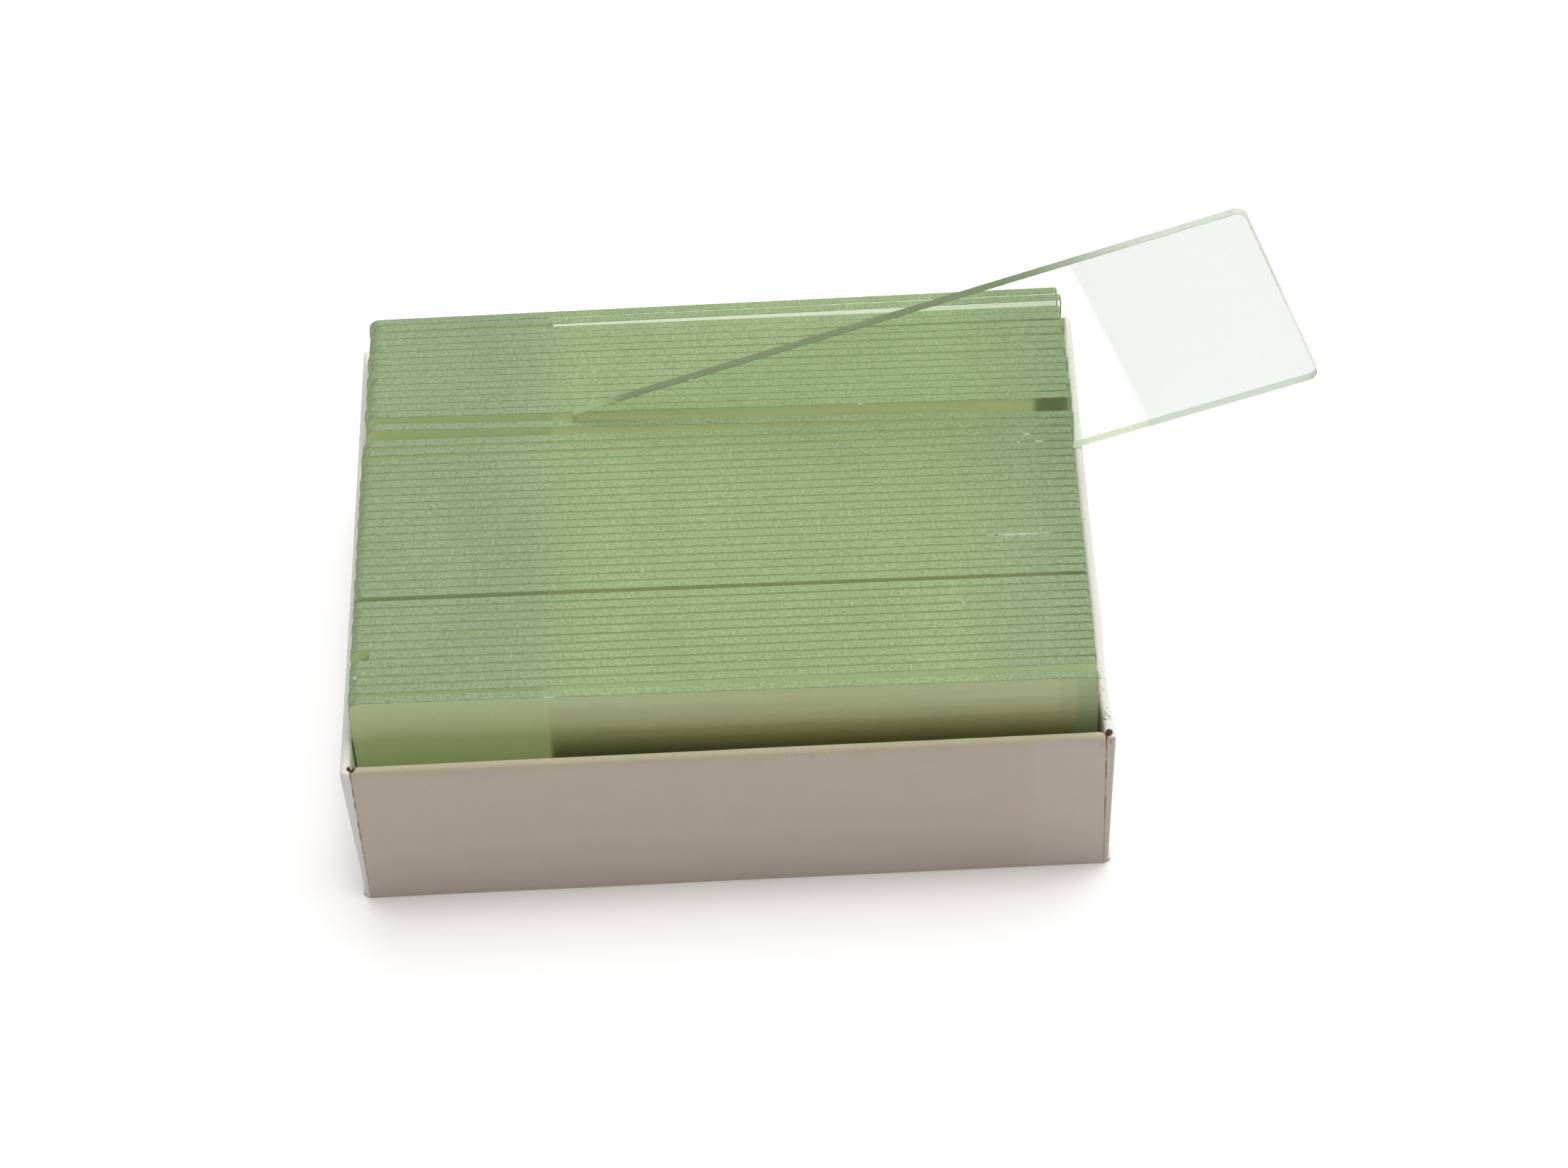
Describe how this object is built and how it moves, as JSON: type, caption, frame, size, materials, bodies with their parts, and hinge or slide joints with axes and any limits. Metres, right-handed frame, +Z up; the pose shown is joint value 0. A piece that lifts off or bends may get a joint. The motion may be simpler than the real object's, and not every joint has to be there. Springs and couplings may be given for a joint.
{
  "type": "tray of microscope slides",
  "caption": "Open folded-board tray packed with upright glass microscope slides that have frosted ends; another slide is drawn out and leans on the tray's rim.",
  "frame": {"origin": "centre of the tray's underside, on the surface it stands on", "axes": "+Z up, +X along the slides towards the packed slides' clear ends, -Y towards the tray's front"},
  "size_m": [0.1037, 0.0626, 0.0532],
  "materials": {
    "board": "white-lined board with brown cut edges, matt",
    "glass": "polished faces, ground edges, frosted at one end"
  },
  "bodies": {
    "tray": {"tray_base": "board", "front_wall": "board", "back_wall": "board", "left_wall": "board", "right_wall": "board", "front_left_flap": "board", "front_right_flap": "board", "back_left_flap": "board", "back_right_flap": "board"},
    "slide_01": {"slide_01": "glass"},
    "slide_02": {"slide_02": "glass"},
    "slide_03": {"slide_03": "glass"},
    "slide_04": {"slide_04": "glass"},
    "slide_05": {"slide_05": "glass"},
    "slide_06": {"slide_06": "glass"},
    "slide_07": {"slide_07": "glass"},
    "slide_08": {"slide_08": "glass"},
    "slide_09": {"slide_09": "glass"},
    "slide_10": {"slide_10": "glass"},
    "slide_11": {"slide_11": "glass"},
    "slide_12": {"slide_12": "glass"},
    "slide_13": {"slide_13": "glass"},
    "slide_14": {"slide_14": "glass"},
    "slide_15": {"slide_15": "glass"},
    "slide_16": {"slide_16": "glass"},
    "slide_17": {"slide_17": "glass"},
    "slide_18": {"slide_18": "glass"},
    "slide_19": {"slide_19": "glass"},
    "slide_20": {"slide_20": "glass"},
    "slide_21": {"slide_21": "glass"},
    "slide_22": {"slide_22": "glass"},
    "slide_23": {"slide_23": "glass"},
    "slide_24": {"slide_24": "glass"},
    "slide_25": {"slide_25": "glass"},
    "slide_26": {"slide_26": "glass"},
    "slide_27": {"slide_27": "glass"},
    "slide_28": {"slide_28": "glass"},
    "slide_29": {"slide_29": "glass"},
    "slide_30": {"slide_30": "glass"},
    "slide_31": {"slide_31": "glass"},
    "slide_32": {"slide_32": "glass"},
    "slide_33": {"slide_33": "glass"},
    "slide_35": {"slide_35": "glass"},
    "slide_36": {"slide_36": "glass"},
    "slide_37": {"slide_37": "glass"},
    "slide_38": {"slide_38": "glass"},
    "slide_39": {"slide_39": "glass"},
    "slide_40": {"slide_40": "glass"},
    "slide_41": {"slide_41": "glass"},
    "slide_42": {"slide_42": "glass"},
    "slide_43": {"slide_43": "glass"},
    "slide_44": {"slide_44": "glass"},
    "slide_45": {"slide_45": "glass"},
    "slide_46": {"slide_46": "glass"},
    "slide_47": {"slide_47": "glass"},
    "slide_48": {"slide_48": "glass"},
    "slide_49": {"slide_49": "glass"},
    "drawn_slide": {"drawn_slide": "glass"}
  },
  "joints": [
    {"name": "drawn_slide_pull", "type": "slide", "parent": "tray", "child": "drawn_slide", "axis": [0.9334, -0.0376, 0.3567], "range_m": [0, 0.075]},
    {"name": "slide_01_lift", "type": "slide", "parent": "tray", "child": "slide_01", "axis": [0, 0, 1], "range_m": [0, 0.03]},
    {"name": "slide_06_lift", "type": "slide", "parent": "tray", "child": "slide_06", "axis": [0, 0, 1], "range_m": [0, 0.03]},
    {"name": "slide_12_lift", "type": "slide", "parent": "tray", "child": "slide_12", "axis": [0, 0, 1], "range_m": [0, 0.03]},
    {"name": "slide_33_lift", "type": "slide", "parent": "tray", "child": "slide_33", "axis": [0, 0, 1], "range_m": [0, 0.03]},
    {"name": "slide_35_lift", "type": "slide", "parent": "tray", "child": "slide_35", "axis": [0, 0, 1], "range_m": [0, 0.03]},
    {"name": "slide_49_lift", "type": "slide", "parent": "tray", "child": "slide_49", "axis": [0, 0, 1], "range_m": [0, 0.03]},
    {"name": "slide_02_lift", "type": "slide", "parent": "tray", "child": "slide_02", "axis": [0, 0, 1], "range_m": [0, 0.03]},
    {"name": "slide_03_lift", "type": "slide", "parent": "tray", "child": "slide_03", "axis": [0, 0, 1], "range_m": [0, 0.03]},
    {"name": "slide_04_lift", "type": "slide", "parent": "tray", "child": "slide_04", "axis": [0, 0, 1], "range_m": [0, 0.03]},
    {"name": "slide_05_lift", "type": "slide", "parent": "tray", "child": "slide_05", "axis": [0, 0, 1], "range_m": [0, 0.03]},
    {"name": "slide_07_lift", "type": "slide", "parent": "tray", "child": "slide_07", "axis": [0, 0, 1], "range_m": [0, 0.03]},
    {"name": "slide_08_lift", "type": "slide", "parent": "tray", "child": "slide_08", "axis": [0, 0, 1], "range_m": [0, 0.03]},
    {"name": "slide_09_lift", "type": "slide", "parent": "tray", "child": "slide_09", "axis": [0, 0, 1], "range_m": [0, 0.03]},
    {"name": "slide_10_lift", "type": "slide", "parent": "tray", "child": "slide_10", "axis": [0, 0, 1], "range_m": [0, 0.03]},
    {"name": "slide_11_lift", "type": "slide", "parent": "tray", "child": "slide_11", "axis": [0, 0, 1], "range_m": [0, 0.03]},
    {"name": "slide_13_lift", "type": "slide", "parent": "tray", "child": "slide_13", "axis": [0, 0, 1], "range_m": [0, 0.03]},
    {"name": "slide_14_lift", "type": "slide", "parent": "tray", "child": "slide_14", "axis": [0, 0, 1], "range_m": [0, 0.03]},
    {"name": "slide_15_lift", "type": "slide", "parent": "tray", "child": "slide_15", "axis": [0, 0, 1], "range_m": [0, 0.03]},
    {"name": "slide_16_lift", "type": "slide", "parent": "tray", "child": "slide_16", "axis": [0, 0, 1], "range_m": [0, 0.03]},
    {"name": "slide_17_lift", "type": "slide", "parent": "tray", "child": "slide_17", "axis": [0, 0, 1], "range_m": [0, 0.03]},
    {"name": "slide_18_lift", "type": "slide", "parent": "tray", "child": "slide_18", "axis": [0, 0, 1], "range_m": [0, 0.03]},
    {"name": "slide_19_lift", "type": "slide", "parent": "tray", "child": "slide_19", "axis": [0, 0, 1], "range_m": [0, 0.03]},
    {"name": "slide_20_lift", "type": "slide", "parent": "tray", "child": "slide_20", "axis": [0, 0, 1], "range_m": [0, 0.03]},
    {"name": "slide_21_lift", "type": "slide", "parent": "tray", "child": "slide_21", "axis": [0, 0, 1], "range_m": [0, 0.03]},
    {"name": "slide_22_lift", "type": "slide", "parent": "tray", "child": "slide_22", "axis": [0, 0, 1], "range_m": [0, 0.03]},
    {"name": "slide_23_lift", "type": "slide", "parent": "tray", "child": "slide_23", "axis": [0, 0, 1], "range_m": [0, 0.03]},
    {"name": "slide_24_lift", "type": "slide", "parent": "tray", "child": "slide_24", "axis": [0, 0, 1], "range_m": [0, 0.03]},
    {"name": "slide_25_lift", "type": "slide", "parent": "tray", "child": "slide_25", "axis": [0, 0, 1], "range_m": [0, 0.03]},
    {"name": "slide_26_lift", "type": "slide", "parent": "tray", "child": "slide_26", "axis": [0, 0, 1], "range_m": [0, 0.03]},
    {"name": "slide_27_lift", "type": "slide", "parent": "tray", "child": "slide_27", "axis": [0, 0, 1], "range_m": [0, 0.03]},
    {"name": "slide_28_lift", "type": "slide", "parent": "tray", "child": "slide_28", "axis": [0, 0, 1], "range_m": [0, 0.03]},
    {"name": "slide_29_lift", "type": "slide", "parent": "tray", "child": "slide_29", "axis": [0, 0, 1], "range_m": [0, 0.03]},
    {"name": "slide_30_lift", "type": "slide", "parent": "tray", "child": "slide_30", "axis": [0, 0, 1], "range_m": [0, 0.03]},
    {"name": "slide_31_lift", "type": "slide", "parent": "tray", "child": "slide_31", "axis": [0, 0, 1], "range_m": [0, 0.03]},
    {"name": "slide_32_lift", "type": "slide", "parent": "tray", "child": "slide_32", "axis": [0, 0, 1], "range_m": [0, 0.03]},
    {"name": "slide_36_lift", "type": "slide", "parent": "tray", "child": "slide_36", "axis": [0, 0, 1], "range_m": [0, 0.03]},
    {"name": "slide_37_lift", "type": "slide", "parent": "tray", "child": "slide_37", "axis": [0, 0, 1], "range_m": [0, 0.03]},
    {"name": "slide_38_lift", "type": "slide", "parent": "tray", "child": "slide_38", "axis": [0, 0, 1], "range_m": [0, 0.03]},
    {"name": "slide_39_lift", "type": "slide", "parent": "tray", "child": "slide_39", "axis": [0, 0, 1], "range_m": [0, 0.03]},
    {"name": "slide_40_lift", "type": "slide", "parent": "tray", "child": "slide_40", "axis": [0, 0, 1], "range_m": [0, 0.03]},
    {"name": "slide_41_lift", "type": "slide", "parent": "tray", "child": "slide_41", "axis": [0, 0, 1], "range_m": [0, 0.03]},
    {"name": "slide_42_lift", "type": "slide", "parent": "tray", "child": "slide_42", "axis": [0, 0, 1], "range_m": [0, 0.03]},
    {"name": "slide_43_lift", "type": "slide", "parent": "tray", "child": "slide_43", "axis": [0, 0, 1], "range_m": [0, 0.03]},
    {"name": "slide_44_lift", "type": "slide", "parent": "tray", "child": "slide_44", "axis": [0, 0, 1], "range_m": [0, 0.03]},
    {"name": "slide_45_lift", "type": "slide", "parent": "tray", "child": "slide_45", "axis": [0, 0, 1], "range_m": [0, 0.03]},
    {"name": "slide_46_lift", "type": "slide", "parent": "tray", "child": "slide_46", "axis": [0, 0, 1], "range_m": [0, 0.03]},
    {"name": "slide_47_lift", "type": "slide", "parent": "tray", "child": "slide_47", "axis": [0, 0, 1], "range_m": [0, 0.03]},
    {"name": "slide_48_lift", "type": "slide", "parent": "tray", "child": "slide_48", "axis": [0, 0, 1], "range_m": [0, 0.03]}
  ]
}
